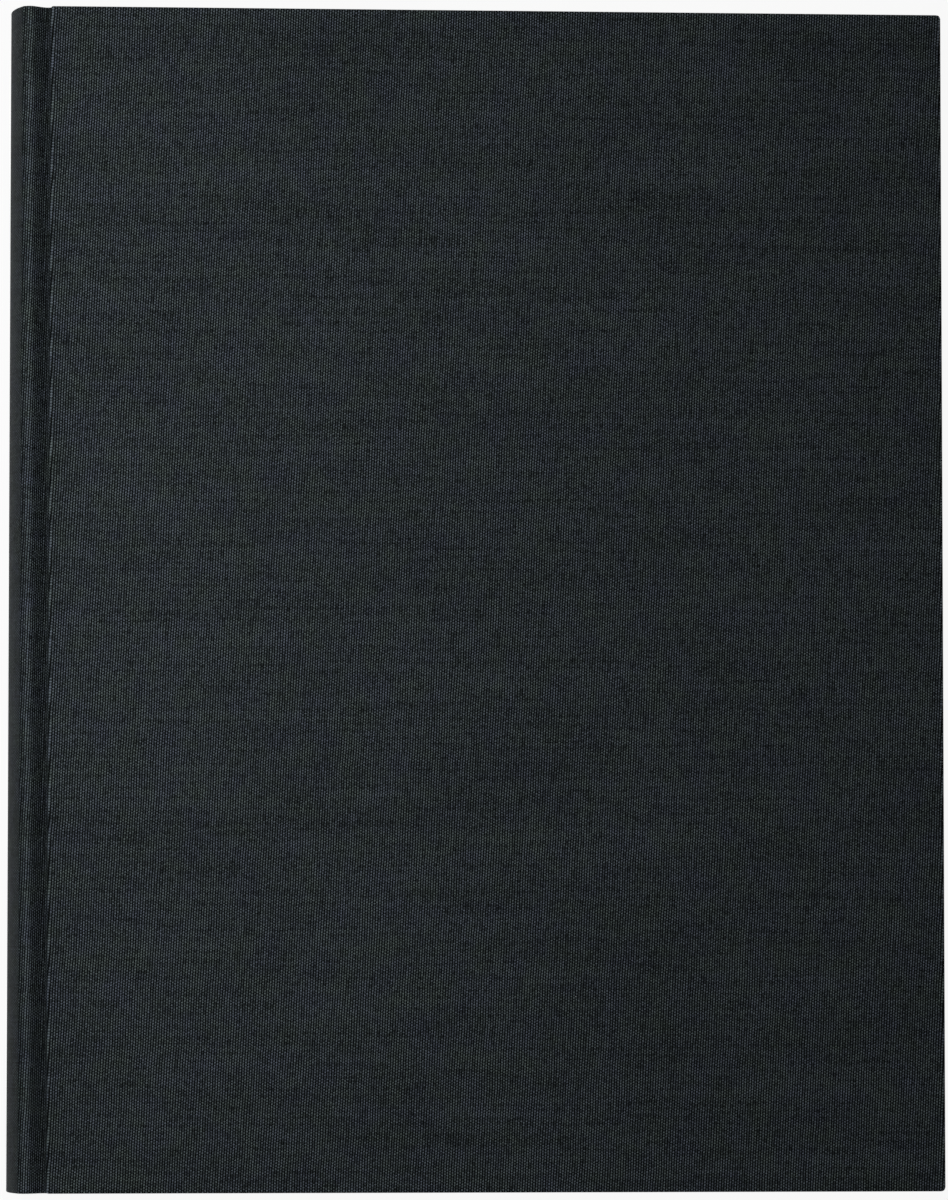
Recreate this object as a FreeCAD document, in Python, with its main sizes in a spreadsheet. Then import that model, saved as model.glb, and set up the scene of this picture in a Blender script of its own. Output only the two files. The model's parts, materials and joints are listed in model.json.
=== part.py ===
"""Case-bound ledger book, lying closed on its back cover.

X runs from the spine to the fore-edge, Y from tail to head and Z from the back cover to
the front cover.  Every section is drawn about one point, the centre of the rounded spine
of the leaves, and the bodies are then placed so that the closed book stands on z = 0.
The covering cloth, the mull and each endpaper are single sheets on the bench; they are
parted here only along the two hinge lines, because their parts turn with the covers.
"""
import FreeCAD, Part
import math
import os
import Sketcher

DOC = FreeCAD.newDocument("LedgerBook")
FRONT = ""
BACK = "-"
TINY = 1e-6

# Driving sizes, millimetres unless noted.
SIZES = (
    ("leaf_width", 218.5, "leaf from spine fold to fore-edge"),
    ("leaf_height", 279.4, "leaf from tail to head"),
    ("text_thickness", 17.8, "all leaves pressed together"),
    ("gatherings", 16, "folded gatherings sewn into the block"),
    ("fold_depth", 0.5, "valley between two gatherings at the spine"),
    ("fold_width", 0.45, "mouth of that valley"),
    ("round_depth", 2.8, "how far the rounded spine stands behind its shoulders"),
    ("shoulder_angle", 35, "slope of the backed shoulders, degrees"),
    ("paper", 0.15, "endpaper thickness"),
    ("glue", 0.04, "glue film on the curved spine"),
    ("mull", 0.15, "open-weave mull thickness"),
    ("lining", 0.15, "paper spine lining thickness"),
    ("hollow", 0.45, "air between spine lining and spine inlay"),
    ("inlay", 0.5, "card strip that stiffens the cloth spine"),
    ("inlay_inset", 1.0, "inlay edge below the shoulder tip"),
    ("cloth", 0.35, "book cloth thickness"),
    ("board", 2.5, "cover board thickness"),
    ("board_edge", 0.3, "bevel that eases the cover board edges"),
    ("square", 3.2, "cover beyond the leaves at head and tail"),
    ("fore_square", 4.5, "cover beyond the leaves at the fore-edge"),
    ("groove_width", 5.3, "from spine ridge to the covered board"),
    ("groove_radius", 0.8, "groove floor on its spine side"),
    ("foot_radius", 0.9, "groove floor on its board side"),
    ("ridge_angle", 45, "where the ridge lets go of its shoulder, degrees"),
    ("crease_drop", 0.55, "crease beside the ridge, below the cover face"),
    ("turn_in", 15, "cloth turned over the inside of the boards"),
    ("mull_reach", 28, "mull pasted under each board"),
    ("mull_lift", 0.8, "mull leaves the spine this far below the shoulder tip"),
    ("cover_gap", 0.1, "play between closed cover and flyleaf"),
    ("fit", 0.2, "play beside pasted edges"),
    ("bead", 1.8, "headband bead diameter"),
    ("band_tape", 0.15, "tape that carries the bead"),
    ("band_flange", 9, "tape pasted down the spine"),
)

# Sizes worked out from the driving ones, measured from the centre of the rounded spine.
LAYOUT = (
    ("text_half", "Dims.text_thickness / 2"),
    ("flyleaf_top", "text_half + Dims.paper"),
    ("paste_low", "flyleaf_top + Dims.cover_gap"),
    ("paste_high", "paste_low + Dims.paper"),
    ("board_low", "paste_high + Dims.cloth"),
    ("board_high", "board_low + Dims.board"),
    ("cover_top", "board_high + Dims.cloth"),
    ("tip_z", "text_half + Dims.board"),
    ("spine_r", "(tip_z ^ 2 + Dims.round_depth ^ 2) / (2 * Dims.round_depth)"),
    ("tip_x", "Dims.round_depth - spine_r"),
    ("tip_angle", "asin(tip_z / spine_r)"),
    ("shoulder_r", "Dims.groove_radius + board_low + Dims.cloth - text_half"),
    ("shoulder_z", "text_half + shoulder_r"),
    ("hinge_x", "tip_x + Dims.board / tan(Dims.shoulder_angle)"
                " + shoulder_r * tan(Dims.shoulder_angle / 2)"),
    ("mull_r", "spine_r + Dims.glue"),
    ("lining_r", "mull_r + Dims.mull + Dims.glue"),
    ("hollow_r", "lining_r + Dims.lining + Dims.hollow"),
    ("inlay_r", "hollow_r + Dims.inlay"),
    ("case_r", "inlay_r + Dims.cloth"),
    ("crease_angle", "asin((cover_top - Dims.crease_drop) / case_r)"),
    ("inlay_angle", "asin((tip_z - Dims.inlay_inset) / inlay_r)"),
    ("mull_angle", "asin((tip_z - Dims.mull_lift) / spine_r)"),
    ("band_angle", "asin(text_half / spine_r)"),
    ("fold_pitch", "2 * tip_angle / Dims.gatherings"),
    ("fore_x", "Dims.leaf_width - sqrt(spine_r ^ 2 - text_half ^ 2)"),
    ("board_fore", "fore_x + Dims.fore_square"),
    ("cover_fore", "board_fore + Dims.cloth"),
    ("cover_spine", "tip_x + Dims.groove_width"),
    ("board_spine", "cover_spine + Dims.cloth"),
    ("corner_r", "Dims.board_edge + Dims.cloth"),
    ("fold_r", "0.8 * Dims.cloth"),
    ("mull_end", "hinge_x + Dims.mull_reach"),
    ("window_fore", "board_fore - Dims.turn_in"),
    ("board_half", "Dims.leaf_height / 2 + Dims.square"),
    ("cover_half", "board_half + Dims.cloth"),
    ("window_half", "board_half - Dims.turn_in"),
    ("mull_half", "window_half - Dims.fit"),
    ("spine_place", "(case_r - cover_fore) / 2"),
)
ANGLES = ("tip_angle", "crease_angle", "inlay_angle", "mull_angle", "band_angle", "fold_pitch")


# ---------------------------------------------------------------- document helpers
def make_sizes():
    """Spreadsheet of the driving sizes: name, number and what it measures."""
    sheet = DOC.addObject("Spreadsheet::Sheet", "Dims")
    for row, (name, value, note) in enumerate(SIZES, start=1):
        sheet.set(f"A{row}", name)
        sheet.set(f"B{row}", str(value))
        sheet.setAlias(f"B{row}", name)
        sheet.set(f"C{row}", note)
    DOC.recompute()
    return sheet


def make_layout():
    """Set of values that follow the driving sizes by formula."""
    layout = DOC.addObject("App::VarSet", "Layout")
    for name, formula in LAYOUT:
        kind = "App::PropertyAngle" if name in ANGLES else "App::PropertyFloat"
        layout.addProperty(kind, name, "Layout")
        layout.setExpression(name, formula)
    DOC.recompute()
    return layout


def number(formula):
    """Present value of a formula over the sizes."""
    return float(DIMS.evalExpression(formula))


def new_body(label):
    """Empty body in the common section frame."""
    body = DOC.addObject("PartDesign::Body", label)
    body.Label = label
    body.setExpression("Placement.Base.x", "Layout.spine_place")
    body.setExpression("Placement.Base.z", "Layout.cover_top")
    return body


def origin_part(body, role):
    """Plane or axis of a body's own origin."""
    return next(item for item in body.Origin.OriginFeatures if item.Role == role)


# ---------------------------------------------------------------- sketches
# A corner is (x, z, radius, turn): the place of the corner, and the radius and turn of the
# arc to the next corner, +1 counter-clockwise, -1 clockwise, or 0 for a straight line.
def corner(x, z, radius=None, turn=0):
    return (x, z, radius, turn)


def below(corners):
    """The same corners reflected to the other side of the book."""
    return [corner(x, f"-({z})", radius, -turn) for x, z, radius, turn in corners]


def backwards(corners):
    """The same run of corners walked from its end to its start."""
    spots = [(x, z) for x, z, _, _ in reversed(corners)]
    arcs = [(radius, -turn) for _, _, radius, turn in reversed(corners[:-1])]
    arcs.append((None, 0))
    return [corner(x, z, radius, turn) for (x, z), (radius, turn) in zip(spots, arcs)]


def with_arc(corners, radius, turn):
    """The same run of corners with an arc leading on from its last corner."""
    x, z, _, _ = corners[-1]
    return corners[:-1] + [corner(x, z, radius, turn)]


def on_side(corners, side):
    """Corners drawn for the front cover, or reflected for the back cover."""
    return below(corners) if side == BACK else corners


def rectangle(x_low, x_high, z_low, z_high):
    return [corner(x_low, z_low), corner(x_high, z_low),
            corner(x_high, z_high), corner(x_low, z_high)]


def arc_between(start, finish, radius, turn):
    """Shorter arc of a given radius between two points, as the sketcher wants it."""
    half = (finish - start) * 0.5
    height = math.sqrt(max(radius ** 2 - half.Length ** 2, 0.0))
    across = FreeCAD.Vector(-half.y, half.x, 0).normalize()
    centre = start + half + across * height * turn
    first, last = (start, finish) if turn > 0 else (finish, start)
    angle_first = math.atan2(first.y - centre.y, first.x - centre.x)
    angle_last = math.atan2(last.y - centre.y, last.x - centre.x)
    if angle_last < angle_first:
        angle_last += 2 * math.pi
    circle = Part.Circle(centre, FreeCAD.Vector(0, 0, 1), radius)
    return Part.ArcOfCircle(circle, angle_first, angle_last)


def bind(sketch, kind, *args):
    """Constraint whose value, the last argument, stays tied to its formula."""
    *where, formula = args
    index = sketch.addConstraint(Sketcher.Constraint(kind, *where, number(formula)))
    sketch.setExpression(f"Constraints[{index}]", formula)


def draw(body, name, corners, plane="XZ_Plane"):
    """Closed outline whose corners and radii are all tied to the sizes."""
    sketch = body.newObject("Sketcher::SketchObject", name)
    sketch.AttachmentSupport = [(origin_part(body, plane), "")]
    sketch.MapMode = "FlatFace"
    spots = [FreeCAD.Vector(number(x), number(z), 0) for x, z, _, _ in corners]
    ends = []
    for index, (_, _, radius, turn) in enumerate(corners):
        start = spots[index]
        finish = spots[(index + 1) % len(spots)]
        if radius is None:
            sketch.addGeometry(Part.LineSegment(start, finish))
        else:
            sketch.addGeometry(arc_between(start, finish, number(radius), turn))
        ends.append((2, 1) if turn < 0 else (1, 2))
    for index, (x, z, radius, _) in enumerate(corners):
        after = (index + 1) % len(corners)
        sketch.addConstraint(Sketcher.Constraint(
            "Coincident", index, ends[index][1], after, ends[after][0]))
        bind(sketch, "DistanceX", -1, 1, index, ends[index][0], x)
        bind(sketch, "DistanceY", -1, 1, index, ends[index][0], z)
        if radius is not None:
            bind(sketch, "Radius", index, radius)
    return sketch


# ---------------------------------------------------------------- solid features
def pad(body, name, corners, length):
    """Section pushed out evenly towards head and tail."""
    feature = body.newObject("PartDesign::Pad", name)
    feature.Profile = draw(body, f"{name}Sketch", corners)
    feature.SideType = "Symmetric"
    feature.setExpression("Length", length)
    DOC.recompute()
    return feature


def pocket(body, name, corners, length):
    """Section cut out evenly towards head and tail."""
    before = body.Shape.Volume
    feature = body.newObject("PartDesign::Pocket", name)
    feature.Profile = draw(body, f"{name}Sketch", corners)
    feature.SideType = "Symmetric"
    feature.setExpression("Length", length)
    DOC.recompute()
    if not body.Shape.Volume < before:
        raise RuntimeError(f"{body.Label}: {name} cuts nothing")
    return feature


def round_edges(body, name, radius, wanted):
    """Fillet on every edge of the body that the test picks."""
    base = body.Tip
    edges = [f"Edge{i}" for i, edge in enumerate(base.Shape.Edges, start=1) if wanted(edge)]
    feature = body.newObject("PartDesign::Fillet", name)
    feature.Base = (base, edges)
    feature.setExpression("Radius", radius)
    DOC.recompute()
    return feature


def bevel_all(body, name, size):
    """Chamfer along every edge of the body."""
    base = body.Tip
    edges = [f"Edge{i}" for i in range(1, len(base.Shape.Edges) + 1)]
    feature = body.newObject("PartDesign::Chamfer", name)
    feature.Base = (base, edges)
    feature.setExpression("Size", size)
    DOC.recompute()
    return feature


# ---------------------------------------------------------------- section lines
def shoulder_line(offset):
    """Backed shoulder, a given distance outside the leaves, from hinge line to tip."""
    floor = f"(Layout.shoulder_r - ({offset}))"
    slope = "Dims.shoulder_angle"
    return [
        corner("Layout.hinge_x", f"Layout.text_half + ({offset})", floor, -1),
        corner(f"Layout.hinge_x - {floor} * sin({slope})",
               f"Layout.shoulder_z - {floor} * cos({slope})"),
        corner(f"Layout.tip_x + ({offset}) * sin({slope})",
               f"Layout.tip_z + ({offset}) * cos({slope})"),
    ]


def ridge_line(offset, lean):
    """Shoulder line led on over the tip, to a direction that leans off straight up."""
    over = with_arc(shoulder_line(offset), offset, 1)
    return over + [corner(f"Layout.tip_x - ({offset}) * sin({lean})",
                          f"Layout.tip_z + ({offset}) * cos({lean})")]


def on_spine(radius, angle, turn=0):
    """Corner on a circle about the spine centre, an angle above the middle plane."""
    return corner(f"-({radius}) * cos({angle})", f"({radius}) * sin({angle})",
                  radius if turn else None, turn)


def case_outline(offset, radius, angle):
    """Closed section within one face of the sheets that wrap the spine, hinge to hinge."""
    upper = ridge_line(offset, "Dims.ridge_angle") + [on_spine(radius, angle)]
    return with_arc(upper, radius, 1) + below(backwards(upper))


def spine_strip(inner, outer, angle):
    """Section of a strip that lies along the rounded spine."""
    return [
        on_spine(inner, angle),
        on_spine(outer, angle, 1),
        on_spine(outer, f"-{angle}"),
        on_spine(inner, f"-{angle}", -1),
    ]


CLOTH_OUTSIDE = "(Layout.board_low + Dims.cloth - Layout.text_half)"
CLOTH_INSIDE = "(Layout.board_low - Layout.text_half)"
MULL_INSIDE = "(Layout.board_low - Dims.mull - Layout.text_half)"
PASTE_OUTSIDE = "(Layout.paste_high - Layout.text_half)"
PASTE_INSIDE = "(Layout.paste_low - Layout.text_half)"


# ---------------------------------------------------------------- leaves and endpapers
def make_text_block():
    """Sewn gatherings, rounded and backed: all the leaves as one solid."""
    body = new_body("text_block")
    upper = [corner("Layout.fore_x", "Layout.text_half")] + shoulder_line("0")
    section = with_arc(upper, "Layout.spine_r", 1) + below(backwards(upper))
    pad(body, "Leaves", with_arc(section, "Layout.spine_r", -1), "Dims.leaf_height")
    cut_gatherings(body)
    return body


def cut_gatherings(body):
    """Valleys between the folds of neighbouring gatherings, fanned round the spine."""
    lowest = "(Layout.fold_pitch * (Dims.gatherings / 2 - 1))"
    floor = "(Layout.spine_r - Dims.fold_depth)"
    mouth = "(Layout.spine_r + Dims.fold_width / 2)"
    lean = "(Dims.fold_width / 2)"
    valley = [
        corner(f"-{floor} * cos{lowest}", f"-{floor} * sin{lowest}"),
        corner(f"-{mouth} * cos{lowest} - {lean} * sin{lowest}",
               f"-{mouth} * sin{lowest} + {lean} * cos{lowest}"),
        corner(f"-{mouth} * cos{lowest} + {lean} * sin{lowest}",
               f"-{mouth} * sin{lowest} - {lean} * cos{lowest}"),
    ]
    cut = pocket(body, "Valley", valley, "2 * Dims.leaf_height")
    pattern = body.newObject("PartDesign::PolarPattern", "Valleys")
    pattern.Originals = [cut]
    pattern.Axis = (origin_part(body, "Y_Axis"), [""])
    pattern.setExpression("Angle", "Layout.fold_pitch * (Dims.gatherings - 2)")
    pattern.setExpression("Occurrences", "Dims.gatherings - 1")
    body.Tip = pattern
    DOC.recompute()


def make_flyleaf(label, side):
    """Free endpaper, from the fore-edge up the shoulder, and its fold back to the hinge."""
    body = new_body(label)
    section = [corner("Layout.fore_x", "Layout.flyleaf_top")]
    section += shoulder_line("Dims.paper")
    section += backwards(shoulder_line(PASTE_INSIDE))
    section += ridge_line(PASTE_OUTSIDE, "0")
    section += backwards(shoulder_line("0"))
    section.append(corner("Layout.fore_x", "Layout.text_half"))
    pad(body, "Sheet", on_side(section, side), "Dims.leaf_height")
    return body


def make_pastedown(label, side):
    """Other half of the endpaper, pasted over the turn-ins and sunk between them."""
    body = new_body(label)
    sheet = rectangle("Layout.hinge_x", "Layout.fore_x", "Layout.paste_low", "Layout.paste_high")
    pad(body, "Sheet", on_side(sheet, side), "Dims.leaf_height")
    left = "Layout.mull_end + Dims.fit"
    right = "Layout.window_fore - Dims.fit"
    sunk = rectangle(left, right, "Layout.paste_high", "Layout.board_low")
    pad(body, "Sunk", on_side(sunk, side), "2 * Layout.mull_half")
    dish = rectangle(f"{left} + Dims.paper", f"{right} - Dims.paper",
                     "Layout.paste_low", "Layout.board_low - Dims.paper")
    pocket(body, "Dish", on_side(dish, side), "2 * (Layout.mull_half - Dims.paper)")
    return body


# ---------------------------------------------------------------- spine linings
def make_mull():
    """Open-weave cloth glued over the spine folds and down both shoulders."""
    body = new_body("spine_mull")
    outside = case_outline(CLOTH_INSIDE, "(Layout.mull_r + Dims.mull)", "Layout.mull_angle")
    inside = case_outline(MULL_INSIDE, "Layout.mull_r", "Layout.mull_angle")
    pad(body, "Outside", outside, "2 * Layout.mull_half")
    pocket(body, "Inside", inside, "2 * Dims.leaf_height")
    return body


def make_mull_flange(label, side):
    """Mull that goes on under the board, between board and pastedown."""
    body = new_body(label)
    flange = rectangle("Layout.hinge_x", "Layout.mull_end",
                       "Layout.board_low - Dims.mull", "Layout.board_low")
    pad(body, "Flange", on_side(flange, side), "2 * Layout.mull_half")
    return body


def make_lining():
    """Paper pasted over the mull to stiffen the spine of the leaves."""
    body = new_body("spine_lining")
    strip = spine_strip("Layout.lining_r", "(Layout.lining_r + Dims.lining)", "Layout.mull_angle")
    pad(body, "Lining", strip, "Dims.leaf_height")
    return body


def make_headband(label, side):
    """Corded bead on the ends of the leaves, with its tape down the spine."""
    body = new_body(label)
    bead = "(Dims.bead / 2)"
    face = "(Layout.mull_r + Dims.band_tape)"
    middle = f"({bead} - {face})"
    level = f"(Dims.leaf_height / 2 + {bead})"
    notch = f"sqrt({bead} ^ 2 - ({bead} - Dims.band_tape) ^ 2)"
    foot = "(Dims.leaf_height / 2 - Dims.band_flange)"
    profile = [
        corner(f"-{face}", foot),
        corner("-Layout.mull_r", foot),
        corner("-Layout.mull_r", f"{level} - {notch}", bead, 1),
        corner(f"{middle} + {bead}", level, bead, 1),
        corner(middle, f"{level} + {bead}", bead, 1),
        corner(f"-{face}", level),
    ]
    feature = body.newObject("PartDesign::Revolution", "Band")
    feature.Profile = draw(body, "BandSketch", on_side(profile, side), "XY_Plane")
    feature.ReferenceAxis = (origin_part(body, "Y_Axis"), [""])
    feature.Midplane = True
    feature.setExpression("Angle", "2 * Layout.band_angle")
    DOC.recompute()
    return body


def make_inlay():
    """Card strip inside the cloth spine."""
    body = new_body("spine_inlay")
    strip = spine_strip("Layout.hollow_r", "Layout.inlay_r", "Layout.inlay_angle")
    pad(body, "Strip", strip, "2 * Layout.board_half")
    return body


# ---------------------------------------------------------------- covers
def make_board(label, side):
    """Cover board with its edges eased."""
    body = new_body(label)
    section = rectangle("Layout.board_spine", "Layout.board_fore",
                        "Layout.board_low", "Layout.board_high")
    pad(body, "Board", on_side(section, side), "2 * Layout.board_half")
    bevel_all(body, "Eased", "Dims.board_edge")
    return body


FOOT_X = "(Layout.cover_spine - Dims.foot_radius)"


def covered_outline():
    """Outside of the cloth on one cover, from the hinge line round to the turn-in."""
    floor = "(Layout.board_low + Dims.cloth)"
    low = "Layout.paste_high"
    top = "Layout.cover_top"
    bend = "Layout.corner_r"
    left = "Layout.cover_spine"
    right = "Layout.cover_fore"
    return [
        corner("Layout.hinge_x", low),
        corner("Layout.hinge_x", floor),
        corner(FOOT_X, floor, "Dims.foot_radius", 1),
        corner(left, f"{floor} + Dims.foot_radius"),
        corner(left, f"{top} - {bend}", bend, -1),
        corner(f"{left} + {bend}", top),
        corner(f"{right} - {bend}", top, bend, -1),
        corner(right, f"{top} - {bend}"),
        corner(right, f"{low} + {bend}", bend, -1),
        corner(f"{right} - {bend}", low),
    ]


def core_outline():
    """Inside of the cloth on one cover: the board and the slack beside its lower edge."""
    low = "Layout.board_low"
    top = "Layout.board_high"
    ease = "Dims.board_edge"
    left = "Layout.board_spine"
    right = "Layout.board_fore"
    slack = "(Dims.foot_radius + Dims.cloth)"
    return [
        corner(FOOT_X, low, slack, 1),
        corner(left, f"{low} + {slack}"),
        corner(left, f"{top} - {ease}"),
        corner(f"{left} + {ease}", top),
        corner(f"{right} - {ease}", top),
        corner(right, f"{top} - {ease}"),
        corner(right, f"{low} + {ease}"),
        corner(f"{right} - {ease}", low),
    ]


def soften_folds(body):
    """Round the folds of the cloth at head and tail, away from the hinge line."""
    hinge = number("Layout.hinge_x")

    def on_fold(edge):
        across = edge.BoundBox
        return across.YLength < TINY and across.XMax > hinge + TINY

    round_edges(body, "Folds", "Layout.fold_r", on_fold)


def make_cover_cloth(label, side):
    """Cloth over one board, turned in on three edges, with its half of the groove."""
    body = new_body(label)
    pad(body, "Outside", on_side(covered_outline(), side), "2 * Layout.cover_half")
    soften_folds(body)
    window = rectangle("Layout.hinge_x", "Layout.window_fore",
                       "Layout.paste_high", "Layout.board_low")
    pocket(body, "Window", on_side(window, side), "2 * Layout.window_half")
    pocket(body, "Core", on_side(core_outline(), side), "2 * Layout.board_half")
    return body


def make_spine_cloth():
    """Cloth over the spine, pressed down both shoulders and turned in over the inlay."""
    body = new_body("cover_cloth_spine")
    crease = "Layout.crease_angle"
    outside = case_outline(CLOTH_OUTSIDE, "Layout.case_r", crease)
    doubled = case_outline(PASTE_OUTSIDE, "(Layout.hollow_r - Dims.cloth)", crease)
    single = case_outline(CLOTH_INSIDE, "Layout.inlay_r", crease)
    slot = spine_strip("Layout.hollow_r", "Layout.inlay_r", "Layout.inlay_angle")
    pad(body, "Outside", outside, "2 * Layout.cover_half")
    widest = number("Layout.inlay_r")
    round_edges(body, "Folds", "Layout.fold_r",
                lambda edge: getattr(edge.Curve, "Radius", 0) > widest)
    pocket(body, "Doubled", doubled, "3 * Layout.cover_half")
    pocket(body, "Single", single, "2 * Layout.window_half")
    pocket(body, "Slot", slot, "2 * Layout.board_half")
    return body


# ---------------------------------------------------------------- the book
def build_book():
    parts = [make_text_block(), make_mull(), make_lining(), make_inlay(), make_spine_cloth()]
    parts.append(make_headband("head_band", FRONT))
    parts.append(make_headband("tail_band", BACK))
    for name, side in (("front", FRONT), ("back", BACK)):
        parts.append(make_flyleaf(f"{name}_flyleaf", side))
        parts.append(make_pastedown(f"{name}_pastedown", side))
        parts.append(make_mull_flange(f"mull_flange_{name}", side))
        parts.append(make_board(f"{name}_board", side))
        parts.append(make_cover_cloth(f"cover_cloth_{name}", side))
    return parts


def check(parts):
    """Stop before anything is written if a feature failed or a solid is bad."""
    for item in DOC.Objects:
        if "Invalid" in item.State or "Error" in item.State:
            raise RuntimeError(f"{item.Label}: {item.State}")
    for part in parts:
        if part.Shape.isNull() or not part.Shape.isValid() or len(part.Shape.Solids) != 1:
            raise RuntimeError(f"{part.Label}: not one valid solid")


def export(parts):
    os.makedirs("parts", exist_ok=True)
    for part in parts:
        part.Shape.exportStep(f"parts/{part.Label}.step")


DIMS = make_sizes()
make_layout()
PARTS = build_book()
DOC.recompute()
check(PARTS)
export(PARTS)
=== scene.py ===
"""Looks of the case-bound ledger book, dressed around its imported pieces.

The book cloth and the pastedowns are modelled here, because they bend where the covers open.
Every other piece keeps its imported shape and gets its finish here.  Lengths are metres; X runs
from the spine to the fore-edge, Y from tail to head and Z from the back cover to the front.
"""
import json
import math

import bmesh
import bpy
from mathutils import Matrix, Vector
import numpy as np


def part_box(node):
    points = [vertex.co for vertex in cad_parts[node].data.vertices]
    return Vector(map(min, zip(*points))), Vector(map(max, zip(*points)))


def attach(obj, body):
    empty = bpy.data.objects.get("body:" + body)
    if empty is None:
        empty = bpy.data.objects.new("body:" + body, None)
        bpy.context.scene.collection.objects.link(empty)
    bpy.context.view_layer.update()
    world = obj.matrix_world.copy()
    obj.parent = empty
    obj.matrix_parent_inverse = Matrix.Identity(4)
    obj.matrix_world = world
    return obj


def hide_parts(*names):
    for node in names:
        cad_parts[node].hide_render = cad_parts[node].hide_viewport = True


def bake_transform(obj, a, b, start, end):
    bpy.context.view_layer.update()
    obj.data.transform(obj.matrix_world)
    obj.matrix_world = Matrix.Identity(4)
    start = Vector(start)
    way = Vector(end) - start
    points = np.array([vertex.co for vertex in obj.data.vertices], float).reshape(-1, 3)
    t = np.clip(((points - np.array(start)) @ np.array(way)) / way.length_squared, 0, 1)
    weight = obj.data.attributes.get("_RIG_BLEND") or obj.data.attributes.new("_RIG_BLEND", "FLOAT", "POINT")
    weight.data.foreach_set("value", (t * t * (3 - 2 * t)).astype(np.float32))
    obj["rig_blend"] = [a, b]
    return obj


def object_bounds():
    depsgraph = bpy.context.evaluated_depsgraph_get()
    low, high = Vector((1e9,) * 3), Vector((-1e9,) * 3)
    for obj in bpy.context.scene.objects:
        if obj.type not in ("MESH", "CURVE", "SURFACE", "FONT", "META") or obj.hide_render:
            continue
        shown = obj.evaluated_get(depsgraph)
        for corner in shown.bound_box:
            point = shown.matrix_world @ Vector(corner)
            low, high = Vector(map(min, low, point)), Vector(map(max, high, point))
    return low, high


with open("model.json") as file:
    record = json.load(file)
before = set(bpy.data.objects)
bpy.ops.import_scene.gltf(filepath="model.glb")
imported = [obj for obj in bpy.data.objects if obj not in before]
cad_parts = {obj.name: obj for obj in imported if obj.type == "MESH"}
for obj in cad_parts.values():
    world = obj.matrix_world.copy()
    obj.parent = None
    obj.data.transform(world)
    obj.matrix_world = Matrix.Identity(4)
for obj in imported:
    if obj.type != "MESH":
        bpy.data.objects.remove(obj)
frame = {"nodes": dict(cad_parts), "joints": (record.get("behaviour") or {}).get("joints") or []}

FRAME_LOW, FRAME_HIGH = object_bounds()
MM = 0.001

# Sizes of the binding that no packed box tells.
PAPER = 0.15 * MM           # endpaper
INLAY = 0.5 * MM            # card strip that stiffens the cloth spine
ROUND_DEPTH = 2.8 * MM      # how far the rounded spine stands behind its shoulders
TURN_IN = 15 * MM           # cloth turned over the inside of the boards
BOARD_EDGE = 0.3 * MM       # bevel that eases the cover boards
GROOVE_RADIUS = 0.8 * MM    # groove floor on its spine side
FOOT_RADIUS = 0.9 * MM      # groove floor on its board side
HIP_RADIUS = 2.4 * MM       # ridge where it falls into the groove
RIDGE_LEAN = 45             # where the ridge lets go of its shoulder, degrees
CREASE_DROP = 0.55 * MM     # crease beside the ridge, below the cover face
FOLD_RADIUS = 0.3 * MM      # cloth folded at the head and tail of the spine
BOARD_FOLD = 0.1 * MM       # inner rounding of the cloth folded over a board's ends
FLAT_RIM = 0.6 * MM         # strip beside a fold that keeps the flat cloth evenly shaded
COVER_CORNER = 0.7 * MM     # rounding of the cover's corners at the fore-edge
SUNK_SLOPE = 0.8 * MM       # where the pastedown comes down from the turn-ins
NEAR = 0.01 * MM            # play when a face is picked by its place
UPRIGHT = 0.95              # least y of the normal of a face at a cover's end

# How many edges round each bend, and along each stretch that bends or shades.
RIDGE_STEPS = 8
SLOPE_STEPS = 4
SPINE_STEPS = 44
JOINT_STEPS = 12
PASTED_JOINT_STEPS = 24
FOOT_STEPS = 7
CORNER_STEPS = 6
FOLD_STEPS = 4

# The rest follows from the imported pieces, measured from the centre of the rounded spine.
_, BLOCK_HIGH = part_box("text_block")
BOARD_LOW, BOARD_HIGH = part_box("front_board")
CLOTH_LOW, CLOTH_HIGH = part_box("cover_cloth_front")
FLYLEAF_LOW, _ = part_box("front_flyleaf")
PASTE_LOW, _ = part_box("front_pastedown")
_, MULL_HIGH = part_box("mull_flange_front")
SPINE_LOW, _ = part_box("cover_cloth_spine")
HINGES = {joint["child"]: Vector(joint["pos_m"]) for joint in frame["joints"]}

MIDDLE = (FRAME_LOW.z + FRAME_HIGH.z) / 2
CLOTH = CLOTH_HIGH.z - BOARD_HIGH.z
BOARD = BOARD_HIGH.z - BOARD_LOW.z
TIP_Z = BLOCK_HIGH.z - MIDDLE
TEXT_HALF = TIP_Z - BOARD
SPINE_RADIUS = (TIP_Z ** 2 + ROUND_DEPTH ** 2) / (2 * ROUND_DEPTH)
TIP_X = ROUND_DEPTH - SPINE_RADIUS
CENTRE = Vector((FLYLEAF_LOW.x - TIP_X, 0, MIDDLE))
HINGE_X = HINGES["front_cover"].x - CENTRE.x
CASE_RADIUS = CENTRE.x - SPINE_LOW.x
TURNED_RADIUS = CASE_RADIUS - 2 * CLOTH - INLAY
COVER_TOP = FRAME_HIGH.z - MIDDLE
FLOOR_Z = BOARD_LOW.z + CLOTH - MIDDLE
PASTE_Z = CLOTH_LOW.z - MIDDLE
INSIDE_Z = PASTE_Z + CLOTH
CLOTH_OFFSET = FLOOR_Z - TEXT_HALF
PASTE_OFFSET = PASTE_Z - TEXT_HALF
SHOULDER_RADIUS = GROOVE_RADIUS + CLOTH_OFFSET
SHOULDER_Z = TEXT_HALF + SHOULDER_RADIUS
HIP_Z = TIP_Z + CLOTH_OFFSET - HIP_RADIUS
CREASE_ANGLE = math.asin((COVER_TOP - CREASE_DROP) / CASE_RADIUS)
COVER_SPINE = BOARD_LOW.x - CLOTH - CENTRE.x
COVER_FORE = CLOTH_HIGH.x - CENTRE.x
COVER_HALF = CLOTH_HIGH.y
CORNER = BOARD_EDGE + CLOTH
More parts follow.
